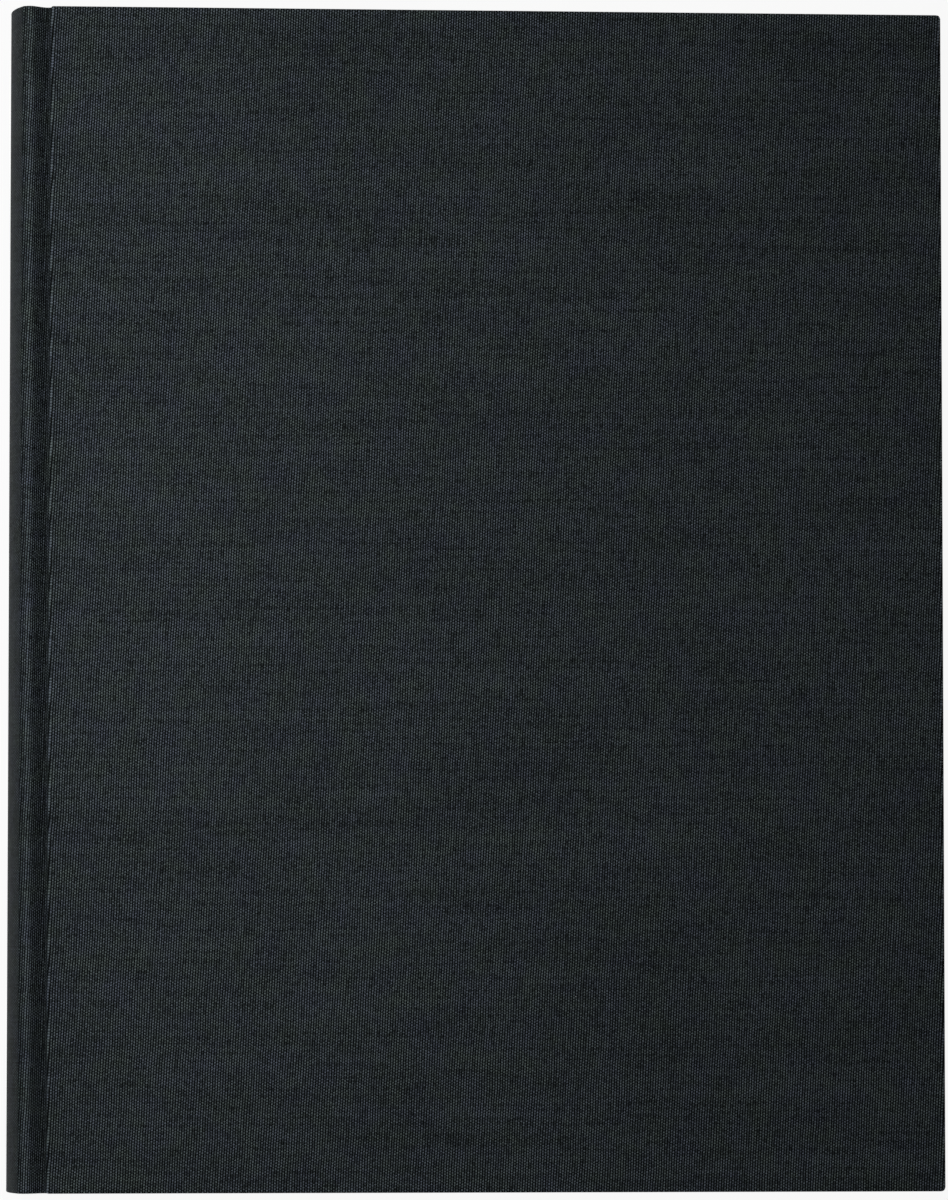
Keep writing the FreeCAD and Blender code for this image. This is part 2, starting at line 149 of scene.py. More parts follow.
WINDOW_HALF = BOARD_HIGH.y - TURN_IN
WINDOW_FORE = BOARD_HIGH.x - TURN_IN - CENTRE.x
LEAF_HALF = BLOCK_HIGH.y
LEAF_FORE = BLOCK_HIGH.x - CENTRE.x
MULL_FORE = MULL_HIGH.x - CENTRE.x


def mix(a, b, share):
    """Value between a (share 0) and b (share 1)."""
    return a + (b - a) * share


# ---------------------------------------------------------------- section lines
class Wire:
    """Open line drawn stroke by stroke in the x-z plane, at one level of y."""

    def __init__(self, bm, x, z, y):
        self.bm = bm
        self.level = y
        self.verts = list(bmesh.ops.create_vert(bm, co=(x, y, z))["vert"])
        self.edges = []

    def grow(self):
        """One more edge, its new end still on top of the old one."""
        grown = bmesh.ops.extrude_vert_indiv(self.bm, verts=self.verts[-1:])
        self.verts += grown["verts"]
        self.edges += grown["edges"]
        return grown["verts"]

    def line(self, x, z, steps=1):
        """Straight stroke to a place."""
        step = (Vector((x, self.level, z)) - self.verts[-1].co) / steps
        for _ in range(steps):
            bmesh.ops.translate(self.bm, vec=step, verts=self.grow())

    def arc(self, x, z, degrees, steps):
        """Arc about a centre, counter-clockwise when x points right and z points up."""
        turn = Matrix.Rotation(-math.radians(degrees) / steps, 3, "Y")
        for _ in range(steps):
            bmesh.ops.rotate(self.bm, cent=(x, self.level, z), matrix=turn, verts=self.grow())


def groove_slope():
    """Fall of the cloth from the ridge into the groove, touching both roundings."""
    across = HINGE_X - TIP_X
    rise = SHOULDER_Z - HIP_Z
    reach = HIP_RADIUS + GROOVE_RADIUS
    return math.asin(reach / math.hypot(across, rise)) - math.atan2(rise, across)


def spine_wire(bm, y, share):
    """Cloth round the spine, hinge line to hinge line: share 0 is outside, 1 turned in."""
    offset = mix(CLOTH_OFFSET, PASTE_OFFSET, share)
    radius = mix(CASE_RADIUS, TURNED_RADIUS, share)
    floor = SHOULDER_RADIUS - offset
    hip = HIP_RADIUS - CLOTH_OFFSET + offset
    slope = groove_slope()
    fall = math.degrees(slope)
    lean = math.radians(RIDGE_LEAN)
    wire = Wire(bm, HINGE_X, TEXT_HALF + offset, y)
    wire.arc(HINGE_X, SHOULDER_Z, -fall, RIDGE_STEPS)
    wire.line(TIP_X + hip * math.sin(slope), HIP_Z + hip * math.cos(slope), SLOPE_STEPS)
    wire.arc(TIP_X, HIP_Z, fall, RIDGE_STEPS)
    wire.arc(TIP_X, TIP_Z, RIDGE_LEAN, RIDGE_STEPS)
    wire.line(-radius * math.cos(CREASE_ANGLE), radius * math.sin(CREASE_ANGLE), SLOPE_STEPS)
    wire.arc(0, 0, 2 * math.degrees(CREASE_ANGLE), SPINE_STEPS)
    wire.line(TIP_X - offset * math.sin(lean), -TIP_Z - offset * math.cos(lean), SLOPE_STEPS)
    wire.arc(TIP_X, -TIP_Z, RIDGE_LEAN, RIDGE_STEPS)
    wire.arc(TIP_X, -HIP_Z, fall, RIDGE_STEPS)
    wire.line(HINGE_X - floor * math.sin(slope), floor * math.cos(slope) - SHOULDER_Z, SLOPE_STEPS)
    wire.arc(HINGE_X, -SHOULDER_Z, -fall, RIDGE_STEPS)
    return wire


def cover_wire(bm, y, depth):
    """Cloth from the hinge line round one board to its inside, depth below its outside."""
    heel = COVER_SPINE - FOOT_RADIUS
    wire = Wire(bm, HINGE_X, FLOOR_Z - depth, y)
    wire.line(heel, FLOOR_Z - depth, JOINT_STEPS)
    wire.arc(heel, FLOOR_Z + FOOT_RADIUS, 90, FOOT_STEPS)
    wire.line(COVER_SPINE + depth, COVER_TOP - CORNER)
    wire.arc(COVER_SPINE + CORNER, COVER_TOP - CORNER, -90, CORNER_STEPS)
    wire.line(COVER_SPINE + CORNER + FLAT_RIM, COVER_TOP - depth)
    wire.line(COVER_FORE - CORNER - FLAT_RIM, COVER_TOP - depth)
    wire.line(COVER_FORE - CORNER, COVER_TOP - depth)
    wire.arc(COVER_FORE - CORNER, COVER_TOP - CORNER, -90, CORNER_STEPS)
    wire.line(COVER_FORE - depth, PASTE_Z + CORNER)
    wire.arc(COVER_FORE - CORNER, PASTE_Z + CORNER, -90, CORNER_STEPS)
    wire.line(COVER_FORE - CORNER - FLAT_RIM, PASTE_Z + depth)
    wire.line(COVER_SPINE, PASTE_Z + depth)
    return wire


def pastedown_wire(bm, y, sunk):
    """Glued face of an endpaper inside a cover, sunk between the mull and the turn-in."""
    glued = PASTE_LOW.z + PAPER - MIDDLE
    wire = Wire(bm, HINGE_X, glued, y)
    wire.line(COVER_SPINE, glued, PASTED_JOINT_STEPS)
    wire.line(MULL_FORE, glued)
    wire.line(MULL_FORE + SUNK_SLOPE, glued + sunk)
    wire.line(WINDOW_FORE - SUNK_SLOPE, glued + sunk)
    wire.line(WINDOW_FORE, glued)
    wire.line(LEAF_FORE, glued)
    return wire


# ---------------------------------------------------------------- sheets
def fold_rounding(radius):
    """(reach, sink) round a quarter fold, from the flat of the sheet to its very edge."""
    angles = [math.radians(90) * step / FOLD_STEPS for step in range(FOLD_STEPS + 1)]
    rounding = [(radius * (math.sin(a) - 1), radius * (1 - math.cos(a))) for a in angles]
    return [(-radius - FLAT_RIM, 0.0)] + rounding


def loft(bm, wires, way):
    """Skin over a row of like wires, each corner noting its place on the flat cloth.

    The run is counted from the middle of the spine, so the cloth of the covers goes on from
    the cloth of the spine; way is 1 where the wires lead away from it.
    """
    run_layer = bm.verts.layers.float["run"]
    rise_layer = bm.verts.layers.float["rise"]
    outside = wires[len(wires) // 2]
    rises = [0.0]
    for before, wire in zip(wires, wires[1:]):
        bmesh.ops.bridge_loops(bm, edges=before.edges + wire.edges)
        rises.append(rises[-1] + (wire.verts[0].co - before.verts[0].co).length)
    shift = outside.level - rises[wires.index(outside)]
    for wire, rise in zip(wires, rises):
        run = HALF_GIRTH
        for place, vert in enumerate(wire.verts):
            if place:
                run += way * outside.edges[place - 1].calc_length()
            vert[run_layer] = run
            vert[rise_layer] = rise + shift


def half_girth():
    """Length of the cloth from the middle of the spine to a hinge line."""
    bm = bmesh.new()
    girth = sum(edge.calc_length() for edge in spine_wire(bm, 0, 0).edges)
    bm.free()
    return girth / 2


HALF_GIRTH = half_girth()


def new_sheet():
    """Empty mesh whose corners can hold their place along the flat cloth."""
    bm = bmesh.new()
    bm.verts.layers.float.new("run")
    bm.verts.layers.float.new("rise")
    return bm


def lay_flat(bm, side, end_run):
    """Shade the sheet smooth and note each face's place on the flat cloth as its UV map.

    end_run says where the cloth folded over a board's end lies along the flat cloth.
    """
    run_layer = bm.verts.layers.float["run"]
    rise_layer = bm.verts.layers.float["rise"]
    uv_layer = bm.loops.layers.uv.new("Cloth")
    for face in bm.faces:
        folded_down = end_run is not None and abs(face.normal.y) > UPRIGHT
        for loop in face.loops:
            run, rise = loop.vert[run_layer], loop.vert[rise_layer]
            if folded_down:
                run = end_run + loop.vert.co.x
                rise = math.copysign(COVER_HALF + COVER_TOP - loop.vert.co.z, loop.vert.co.y)
            loop[uv_layer].uv = (run * side, rise)
        face.smooth = True


def finish_sheet(bm, name, side, thickness, outward, end_run=None):
    """Put a sheet in place, as drawn (side 1) or mirrored to the back cover (side -1).

    Its thickness grows outward (1) or inward (-1) from the sheet.
    """
    lay_flat(bm, side, end_run)
    if side < 0:
        bmesh.ops.scale(bm, vec=(1, 1, -1), verts=bm.verts)
        bmesh.ops.reverse_faces(bm, faces=bm.faces)
    bmesh.ops.translate(bm, vec=CENTRE, verts=bm.verts)
    mesh = bpy.data.meshes.new(name)
    bm.to_mesh(mesh)
    bm.free()
    piece = bpy.data.objects.new(name, mesh)
    bpy.context.scene.collection.objects.link(piece)
    wall = piece.modifiers.new("Thickness", "SOLIDIFY")
    wall.thickness = thickness
    wall.offset = outward
    return piece


def make_spine_cloth():
    """Cloth over the spine: one strip with both ends turned in, pressed down the shoulders."""
    bm = new_sheet()
    depth = CLOTH_OFFSET - PASTE_OFFSET
    rounding = fold_rounding(FOLD_RADIUS)
    head = [(COVER_HALF + reach, sink / depth) for reach, sink in rounding]
    head += [(COVER_HALF + reach, 1 - sink / depth) for reach, sink in reversed(rounding)]
    head.append((WINDOW_HALF, 1.0))
    tail = [(-y, share) for y, share in reversed(head)]
    wires = [spine_wire(bm, y, share) for y, share in tail + head]
    loft(bm, wires, -1)
    bmesh.ops.recalc_face_normals(bm, faces=bm.faces)
    return finish_sheet(bm, "spine_cloth", 1, CLOTH, -1)


def close_end(bm, wire):
    """Fill the end of a board's cover between its outside and its inside line."""
    ends = [wire.verts[0], wire.verts[-1]]
    closing = bmesh.ops.contextual_create(bm, geom=ends)["edges"]
    bmesh.ops.triangle_fill(bm, use_beauty=True, edges=wire.edges + closing)


def open_window(bm):
    """Take out the inside of a cover between its turn-ins."""
    cuts = [((WINDOW_FORE, 0, 0), (1, 0, 0)),
            ((0, WINDOW_HALF, 0), (0, 1, 0)),
            ((0, -WINDOW_HALF, 0), (0, 1, 0))]
    for place, normal in cuts:
        low = [face for face in bm.faces if face.calc_center_median().z < INSIDE_Z + BOARD_FOLD]
        edges = {edge for face in low for edge in face.edges}
        verts = {vert for face in low for vert in face.verts}
        geom = low + list(edges) + list(verts)
        bmesh.ops.bisect_plane(bm, geom=geom, plane_co=place, plane_no=normal)
    inside = []
    for face in bm.faces:
        middle = face.calc_center_median()
        flat = middle.z < INSIDE_Z + NEAR and middle.x > COVER_SPINE
        if flat and middle.x < WINDOW_FORE and abs(middle.y) < WINDOW_HALF:
            inside.append(face)
    bmesh.ops.delete(bm, geom=inside, context="FACES")


def round_corners(bm):
    """Round the two fore-edge corners of a cover, as cloth folded over them does.

    u and v run from 0 to 1 over the square at a corner, which is drawn in to a quarter disc.
    """
    for vert in bm.verts:
        u = (vert.co.x - COVER_FORE + CLOTH) / COVER_CORNER + 1
        v = (abs(vert.co.y) - COVER_HALF + CLOTH) / COVER_CORNER + 1
        if u > 0 and v > 0:
            inward = COVER_CORNER * v * (1 - math.sqrt(1 - u * u / 2))
            vert.co.x -= COVER_CORNER * u * (1 - math.sqrt(1 - v * v / 2))
            vert.co.y -= math.copysign(inward, vert.co.y)


def make_cover_cloth(name, side):
    """Cloth over one board, turned in on three edges, with its half of the groove."""
    bm = new_sheet()
    rounding = fold_rounding(BOARD_FOLD)
    head = [(COVER_HALF - CLOTH + reach, CLOTH + sink) for reach, sink in rounding]
    tail = [(-y, depth) for y, depth in reversed(head)]
    wires = [cover_wire(bm, y, depth) for y, depth in tail + head]
    loft(bm, wires, 1)
    for wire in (wires[0], wires[-1]):
        close_end(bm, wire)
    bmesh.ops.recalc_face_normals(bm, faces=bm.faces)
    corner = max(wires[-1].verts, key=lambda vert: vert.co.x + vert.co.z)
    end_run = corner[bm.verts.layers.float["run"]] - corner.co.x
    open_window(bm)
    round_corners(bm)
    return finish_sheet(bm, name, side, CLOTH, 1, end_run)


def make_pastedown(name, side):
    """Endpaper pasted over the turn-ins, and down on the board between them."""
    bm = new_sheet()
    head = [(WINDOW_HALF - SUNK_SLOPE, CLOTH), (WINDOW_HALF, 0.0), (LEAF_HALF, 0.0)]
    tail = [(-y, sunk) for y, sunk in reversed(head)]
    wires = [pastedown_wire(bm, y, sunk) for y, sunk in tail + head]
    loft(bm, wires, 1)
    bmesh.ops.recalc_face_normals(bm, faces=bm.faces)
    if bm.faces[:][0].normal.z > 0:
        bmesh.ops.reverse_faces(bm, faces=bm.faces)
    sheet = finish_sheet(bm, name, side, PAPER, 1)
    sheet.data.shade_flat()
    return sheet


# ---------------------------------------------------------------- node helper
class Recipe:
    """A procedural finish, put together node by node."""

    def __init__(self, name):
        self.material = bpy.data.materials.new(name)
        self.material.use_nodes = True
        self.tree = self.material.node_tree
        self.shader = self.tree.nodes["Principled BSDF"]
        self.output = self.tree.nodes["Material Output"]

    def node(self, kind, **settings):
        """New node with its settings."""
        made = self.tree.nodes.new(kind)
        for key, value in settings.items():
            setattr(made, key, value)
        return made

    def feed(self, socket, value):
        """Link an output to a socket, or set the socket's own value."""
        if isinstance(value, bpy.types.NodeSocket):
            self.tree.links.new(value, socket)
        else:
            socket.default_value = value

    def math(self, operation, *values, clamp=False):
        """Result of one sum on values or outputs."""
        made = self.node("ShaderNodeMath", operation=operation, use_clamp=clamp)
        for socket, value in zip(made.inputs, values):
            self.feed(socket, value)
        return made.outputs[0]

    def blend(self, share, first, second):
        """Colour between two colours."""
        made = self.node("ShaderNodeMix", data_type="RGBA")
        self.feed(made.inputs["Factor"], share)
        self.feed(made.inputs["A"], first)
        self.feed(made.inputs["B"], second)
        return made.outputs["Result"]

    def spread(self, value, low, high, to_low, to_high):
        """Bring a value from one range to another, clamped."""
        made = self.node("ShaderNodeMapRange")
        for socket, number in zip(made.inputs, (value, low, high, to_low, to_high)):
            self.feed(socket, number)
        return made.outputs[0]

    def noise(self, place, scale, detail=2.0, roughness=0.5):
        """Cloudy noise, 0.5 on average."""
        made = self.node("ShaderNodeTexNoise")
        self.feed(made.inputs["Vector"], place)
        self.feed(made.inputs["Scale"], scale)
        self.feed(made.inputs["Detail"], detail)
        self.feed(made.inputs["Roughness"], roughness)
        return made.outputs["Fac"]

    def vector(self, x, y, z=0.0):
        """Place put together from its coordinates."""
        made = self.node("ShaderNodeCombineXYZ")
        for socket, value in zip(made.inputs, (x, y, z)):
            self.feed(socket, value)
        return made.outputs[0]

    def split(self, place):
        """The three coordinates of a place."""
        made = self.node("ShaderNodeSeparateXYZ")
        self.feed(made.inputs[0], place)
        return made.outputs

    def turned(self, place, degrees, pull=1.0):
        """Place on a pattern turned in its plane; a pull below 1 draws it out along its x."""
        made = self.node("ShaderNodeMapping")
        self.feed(made.inputs["Vector"], place)
        made.inputs["Rotation"].default_value = (0, 0, math.radians(degrees))
        made.inputs["Scale"].default_value = (pull, 1.0, 1.0)
        return made.outputs[0]

    def object_place(self):
        """Place on the piece itself, in metres."""
        return self.node("ShaderNodeTexCoord").outputs["Object"]

    def bump(self, height, distance, strength=1.0):
        """Relief from a height, distance metres deep."""
        made = self.node("ShaderNodeBump")
        self.feed(made.inputs["Height"], height)
        self.feed(made.inputs["Distance"], distance)
        self.feed(made.inputs["Strength"], strength)
        self.feed(self.shader.inputs["Normal"], made.outputs[0])

    def plain(self, **values):
        """Constant values, set on the shader's own sockets."""
        for key, value in values.items():
            self.shader.inputs[key.replace("_", " ")].default_value = value


# ---------------------------------------------------------------- book cloth
THREAD = (0.110, 0.138, 0.131, 1)
THREAD_COOL = (0.108, 0.126, 0.160, 1)
# colour of the gaps between threads: painted shade
PAINTED_GAP_SHADE = (0.0010, 0.0015, 0.0015, 1)
LINT = (0.35, 0.36, 0.36, 1)

WARP_PITCH = 0.616 * MM
WEFT_PITCH = 0.344 * MM
OFF_GRAIN = 3.0             # degrees between the warp and the joint
WANDER = 0.9                # how far threads stray, from side to side, in threads
WARP_DIP = 0.45             # height of a warp thread where it dives under
WEFT_RISE = 0.62            # height of a weft thread where it rides over
GAP_SHADE_TOP = 0.42              # height up to which the cloth is painted as dark as the shade in its gaps
UNEVEN_THREAD = 0.25        # change of tone along ribs and rows
UNEVEN_BEAD = 0.9           # change of tone between crossings, darkest to lightest
RIB_DRIFT = 0.06            # how fast the tone changes along a rib, by the thread
ROW_DRIFT = 0.035
ROWS_APART = 7.3            # keeps the tones of the rows unlike those of the ribs
BAND_SLANT = 38             # degrees between the warp and the faint bands
BAND_PULL = 0.12            # how much the bands are drawn out

# Painted light and shade of the cloth across the joint, by its distance in mm from the hinge line,
# spine side first: painted shade on the spine, a painted highlight on the ridge (partly rubbed wear),
# painted light on its slope, painted shade in the groove, a painted highlight on the board edge
# (partly rubbed wear), then the pressed strip.
JOINT_LIGHT_AND_SHADE = ((-6.6, 0.55), (-5.7, 0.75), (-5.35, 0.85), (-5.05, 1.50), (-4.5, 1.50),
               (-4.2, 1.35), (-2.6, 1.15), (-0.6, 1.10), (0.0, 0.55), (2.3, 0.50), (2.8, 1.40),
               (3.3, 1.40), (3.7, 0.95), (6.8, 0.95), (7.3, 1.0))


def thread_profile(recipe, count):
    """Round back of a thread, from the running count of threads across it."""
    across = recipe.math("FRACT", count)
    return recipe.math("SINE", recipe.math("MULTIPLY", across, math.pi))


def over_and_under(recipe, along, beside):
    """1 where a thread rides over its neighbours and 0 where it dives under."""
    phase = recipe.math("ADD", along, recipe.math("FLOOR", beside))
    wave = recipe.math("SINE", recipe.math("MULTIPLY", phase, math.pi))
    return recipe.math("MULTIPLY_ADD", wave, 0.5, 0.5)


def weave_height(recipe, warp, weft):
    """Surface of a plain weave, from the running counts of its threads."""
    warp_up = over_and_under(recipe, weft, warp)
    weft_up = recipe.math("SUBTRACT", 1.0, over_and_under(recipe, warp, weft))
    warp_level = recipe.spread(warp_up, 0, 1, WARP_DIP, 1.0)
    weft_level = recipe.spread(weft_up, 0, 1, 0.0, WEFT_RISE)
    warp_back = recipe.math("MULTIPLY", thread_profile(recipe, warp), warp_level)
    weft_back = recipe.math("MULTIPLY", thread_profile(recipe, weft), weft_level)
    return recipe.math("MAXIMUM", warp_back, weft_back)


def uneven(recipe, place, amount):
    """Change of tone around nothing, as much darker as it is lighter."""
    noise = recipe.noise(place, scale=0.9, detail=1.0)
    return recipe.spread(noise, 0.25, 0.75, -amount, amount)


def thread_tone(recipe, warp, weft):
    """Slow change of tone along every rib and row, and a change at every crossing."""
    rib, row = recipe.math("FLOOR", warp), recipe.math("FLOOR", weft)
    along_rib = recipe.vector(rib, recipe.math("MULTIPLY", weft, RIB_DRIFT))
    along_row = recipe.vector(recipe.math("MULTIPLY", warp, ROW_DRIFT), row, ROWS_APART)
    rib_tone = uneven(recipe, along_rib, UNEVEN_THREAD)
    row_tone = uneven(recipe, along_row, UNEVEN_THREAD)
    bead = recipe.node("ShaderNodeTexWhiteNoise", noise_dimensions="2D")
    recipe.feed(bead.inputs["Vector"], recipe.vector(rib, row))
    bead_tone = recipe.math("MULTIPLY_ADD", bead.outputs["Value"], UNEVEN_BEAD, -UNEVEN_BEAD / 2)
    change = recipe.math("ADD", recipe.math("ADD", rib_tone, row_tone), bead_tone)
    return recipe.math("ADD", change, 1.0)


def drift(recipe, place, scale, detail, amount):
    """Tone that drifts around 1 by an amount."""
    noise = recipe.noise(place, scale, detail)
    return recipe.spread(noise, 0.3, 0.7, 1 - amount, 1 + amount)


def cloth_cloud(recipe, flat):
    """Faint clouds and slanting bands over the whole cloth."""
    slanting = recipe.turned(flat, BAND_SLANT, BAND_PULL)
    cloud = drift(recipe, flat, scale=26.0, detail=3.0, amount=0.06)
    bands = drift(recipe, slanting, scale=110.0, detail=1.0, amount=0.09)
    return recipe.math("MULTIPLY", cloud, bands)


def painted_joint_light(recipe, run):
    """Painted light and shade across the joint, over the cloth of the covers: painted shade on the spine and
    in the groove, painted highlights on the ridge and the board edge (partly rubbed wear).
    """
    reach = recipe.math("SUBTRACT", recipe.math("ABSOLUTE", run), HALF_GIRTH)
    first, last = JOINT_LIGHT_AND_SHADE[0][0], JOINT_LIGHT_AND_SHADE[-1][0]
    share = recipe.spread(reach, first * MM, last * MM, 0.0, 1.0)
    ramp = recipe.node("ShaderNodeValToRGB")
    stops = ramp.color_ramp.elements
    for place, _ in JOINT_LIGHT_AND_SHADE[1:-1]:
        stops.new((place - first) / (last - first))
    for stop, (place, tone) in zip(stops, JOINT_LIGHT_AND_SHADE):
        stop.color = (tone / 2, tone / 2, tone / 2, 1)
    recipe.feed(ramp.inputs["Fac"], share)
    return recipe.math("MULTIPLY", ramp.outputs["Color"], 2.0)


def add_lint(recipe, flat, colour):
    """A few pale specks of dust caught in the weave."""
    speck = recipe.node("ShaderNodeTexVoronoi", feature="F1")
    recipe.feed(speck.inputs["Vector"], flat)
    recipe.feed(speck.inputs["Scale"], 60.0)
    picked = recipe.math("GREATER_THAN", recipe.split(speck.outputs["Color"])[0], 0.93)
    near = recipe.spread(speck.outputs["Distance"], 0.008, 0.014, 1.0, 0.0)
    return recipe.blend(recipe.math("MULTIPLY", picked, near), colour, LINT)


def make_cloth():
    """Black book cloth: plain weave with fat warp ribs, slubs and a little lint, with painted highlights on
    the thread crests, painted shade in the gaps and painted light and shade across the joint.
    """
    recipe = Recipe("book_cloth_black")
    flat = recipe.node("ShaderNodeUVMap", uv_map="Cloth").outputs[0]
    run, rise = recipe.split(flat)[:2]
    across = recipe.split(recipe.turned(flat, OFF_GRAIN))[0]
    stray = recipe.math("MULTIPLY_ADD", recipe.noise(flat, scale=90.0), WANDER, -WANDER / 2)
    warp = recipe.math("ADD", recipe.math("DIVIDE", across, WARP_PITCH), stray)
    weft = recipe.math("ADD", recipe.math("DIVIDE", rise, WEFT_PITCH), stray)
    height = weave_height(recipe, warp, weft)
    tone = recipe.math("MULTIPLY", thread_tone(recipe, warp, weft), cloth_cloud(recipe, flat))
    # thread crests painted light and the gaps painted dark: painted highlight and painted shade of the weave
    painted_crest_light = recipe.math("MULTIPLY", recipe.spread(height, GAP_SHADE_TOP, 1.0, 0.0, 1.0), tone)
    # painted light and shade across the joint: shade on spine and groove, highlights on ridge and board edge
    painted_crest_light = recipe.math("MULTIPLY", painted_crest_light, painted_joint_light(recipe, run))
    slub = recipe.noise(flat, scale=110.0, detail=4.0, roughness=0.75)
    thread = recipe.blend(recipe.spread(slub, 0.35, 0.65, 0.0, 1.0), THREAD, THREAD_COOL)
    colour = add_lint(recipe, flat, recipe.blend(painted_crest_light, PAINTED_GAP_SHADE, thread))
    recipe.feed(recipe.shader.inputs["Base Color"], colour)
    recipe.plain(Roughness=0.6, IOR=1.45, Specular_IOR_Level=0.04)
    recipe.bump(height, 0.12 * MM, 0.9)
    return recipe.material


# ---------------------------------------------------------------- other finishes
ENDPAPER = (0.75, 0.74, 0.69, 1)
ENDPAPER_CLOUD = (0.70, 0.69, 0.64, 1)
GREY_BOARD = (0.28, 0.25, 0.21, 1)
GREY_BOARD_CLOUD = (0.20, 0.18, 0.15, 1)
KRAFT = (0.33, 0.22, 0.13, 1)
KRAFT_CLOUD = (0.26, 0.17, 0.10, 1)
# painted shade in the gaps between the leaves
LEAF_GAP_SHADE = (0.50, 0.48, 0.42, 1)
LEAF_EDGE = (0.82, 0.80, 0.74, 1)
SILK_BLACK = (0.012, 0.013, 0.014, 1)
SILK_CREAM = (0.62, 0.60, 0.54, 1)
GAUZE_HOLE = (0.30, 0.27, 0.21, 1)
GAUZE_THREAD = (0.68, 0.65, 0.58, 1)

LEAF = 0.1 * MM
LEAF_DRIFT = 6.0            # how fast a leaf's tone changes along its edge, by the metre
STRIPE = 1.3 * MM
SILK_PITCH = 0.3 * MM
GAUZE_PITCH = 1.1 * MM


def ripple(recipe, place, pitch):
    """Even wave from -1 to 1 that comes back once in every pitch."""
    return recipe.math("SINE", recipe.math("MULTIPLY", place, 2 * math.pi / pitch))


def make_paper(name, colour, dark, scale=900.0, relief=0.01 * MM):
    """Paper or board: a faint fibre grain and slow changes of tone."""
    recipe = Recipe(name)
    place = recipe.object_place()
    fibre = recipe.noise(place, scale, detail=4.0, roughness=0.6)
    cloud = recipe.noise(place, scale=30.0)
    share = recipe.math("ADD", recipe.spread(fibre, 0.3, 0.7, 0.0, 0.5),
                        recipe.spread(cloud, 0.3, 0.7, 0.0, 0.5))
    recipe.feed(recipe.shader.inputs["Base Color"], recipe.blend(share, colour, dark))
    recipe.plain(Roughness=0.9, Specular_IOR_Level=0.2)
    recipe.bump(fibre, relief, 0.6)
    return recipe.material


def make_leaf_edges():
    """Edges of the pressed leaves: thin lines that follow each leaf, with painted shade in the gaps between
    the leaves.
    """
    recipe = Recipe("leaf_edges")
    x, y, z = recipe.split(recipe.object_place())
    ply = recipe.vector(recipe.math("MULTIPLY", x, LEAF_DRIFT),
                        recipe.math("MULTIPLY", y, LEAF_DRIFT),
                        recipe.math("DIVIDE", z, LEAF))
    line = recipe.noise(ply, scale=1.0, roughness=0.7)
    share = recipe.spread(line, 0.3, 0.65, 0.0, 1.0)
    recipe.feed(recipe.shader.inputs["Base Color"], recipe.blend(share, LEAF_GAP_SHADE, LEAF_EDGE))
    recipe.plain(Roughness=0.9, Specular_IOR_Level=0.2)
    recipe.bump(line, 0.06 * MM, 0.8)
    return recipe.material


def make_headband_silk():
    """Two-colour headband: stripes of thread wound over the bead."""
    recipe = Recipe("headband_silk")
    z = recipe.split(recipe.object_place())[2]
    thread = ripple(recipe, z, SILK_PITCH)
    share = recipe.spread(ripple(recipe, z, 2 * STRIPE), -0.15, 0.15, 0.0, 1.0)
    # the cream is painted darker between the wound threads: painted shade
    share = recipe.math("MULTIPLY", share, recipe.spread(thread, -1, 1, 0.8, 1.0))
    colour = recipe.blend(share, SILK_BLACK, SILK_CREAM)
    recipe.feed(recipe.shader.inputs["Base Color"], colour)
    recipe.plain(Roughness=0.6, Specular_IOR_Level=0.4)
    recipe.bump(thread, 0.03 * MM, 0.6)
    return recipe.material


def make_mull_gauze():
    """Starched open-weave mull."""
    recipe = Recipe("mull_gauze")
    x, y, z = recipe.split(recipe.object_place())
    round_spine = ripple(recipe, recipe.math("ADD", x, z), GAUZE_PITCH)
    grid = recipe.math("MAXIMUM", ripple(recipe, y, GAUZE_PITCH), round_spine)
    share = recipe.spread(grid, 0.2, 0.8, 0.0, 1.0)
    colour = recipe.blend(share, GAUZE_HOLE, GAUZE_THREAD)
    recipe.feed(recipe.shader.inputs["Base Color"], colour)
    recipe.plain(Roughness=0.9, Specular_IOR_Level=0.2)
    recipe.bump(grid, 0.05 * MM, 0.7)
    return recipe.material


# ---------------------------------------------------------------- dressing
def paint(piece, material):
    """Give a piece one finish, on the slot it has or on a new one."""
    if piece.material_slots:
        for slot in piece.material_slots:
            slot.material = material
    else:
        piece.data.materials.append(material)


def bend_open(sheet, body):
    """Bend a sheet in the groove as its cover opens.

    A half turn can go either way round.  The order of the two bodies settles it, and is such
    that the sheet follows the way its cover swings.
    """
    hinge = HINGES[body]
    at_text = (hinge.x, 0, hinge.z)
    at_cover = (CENTRE.x + COVER_SPINE, 0, hinge.z)
    if hinge.z > MIDDLE:
        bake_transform(sheet, body, "text", start=at_cover, end=at_text)
    else:
        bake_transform(sheet, "text", body, start=at_text, end=at_cover)


def dress_case(cloth, paper):
    """Cloth over the spine and the boards, and the endpapers pasted inside the covers."""
    spine = make_spine_cloth()
    paint(spine, cloth)
    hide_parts("cover_cloth_spine")
    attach(spine, "text")
    for word, side in (("front", 1), ("back", -1)):
        body = f"{word}_cover"
        cover = make_cover_cloth(f"{word}_cloth", side)
        paint(cover, cloth)
        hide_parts(f"cover_cloth_{word}")
        bend_open(cover, body)
        sheet = make_pastedown(f"{word}_endpaper", side)
        paint(sheet, paper)
        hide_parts(f"{word}_pastedown")
        bend_open(sheet, body)


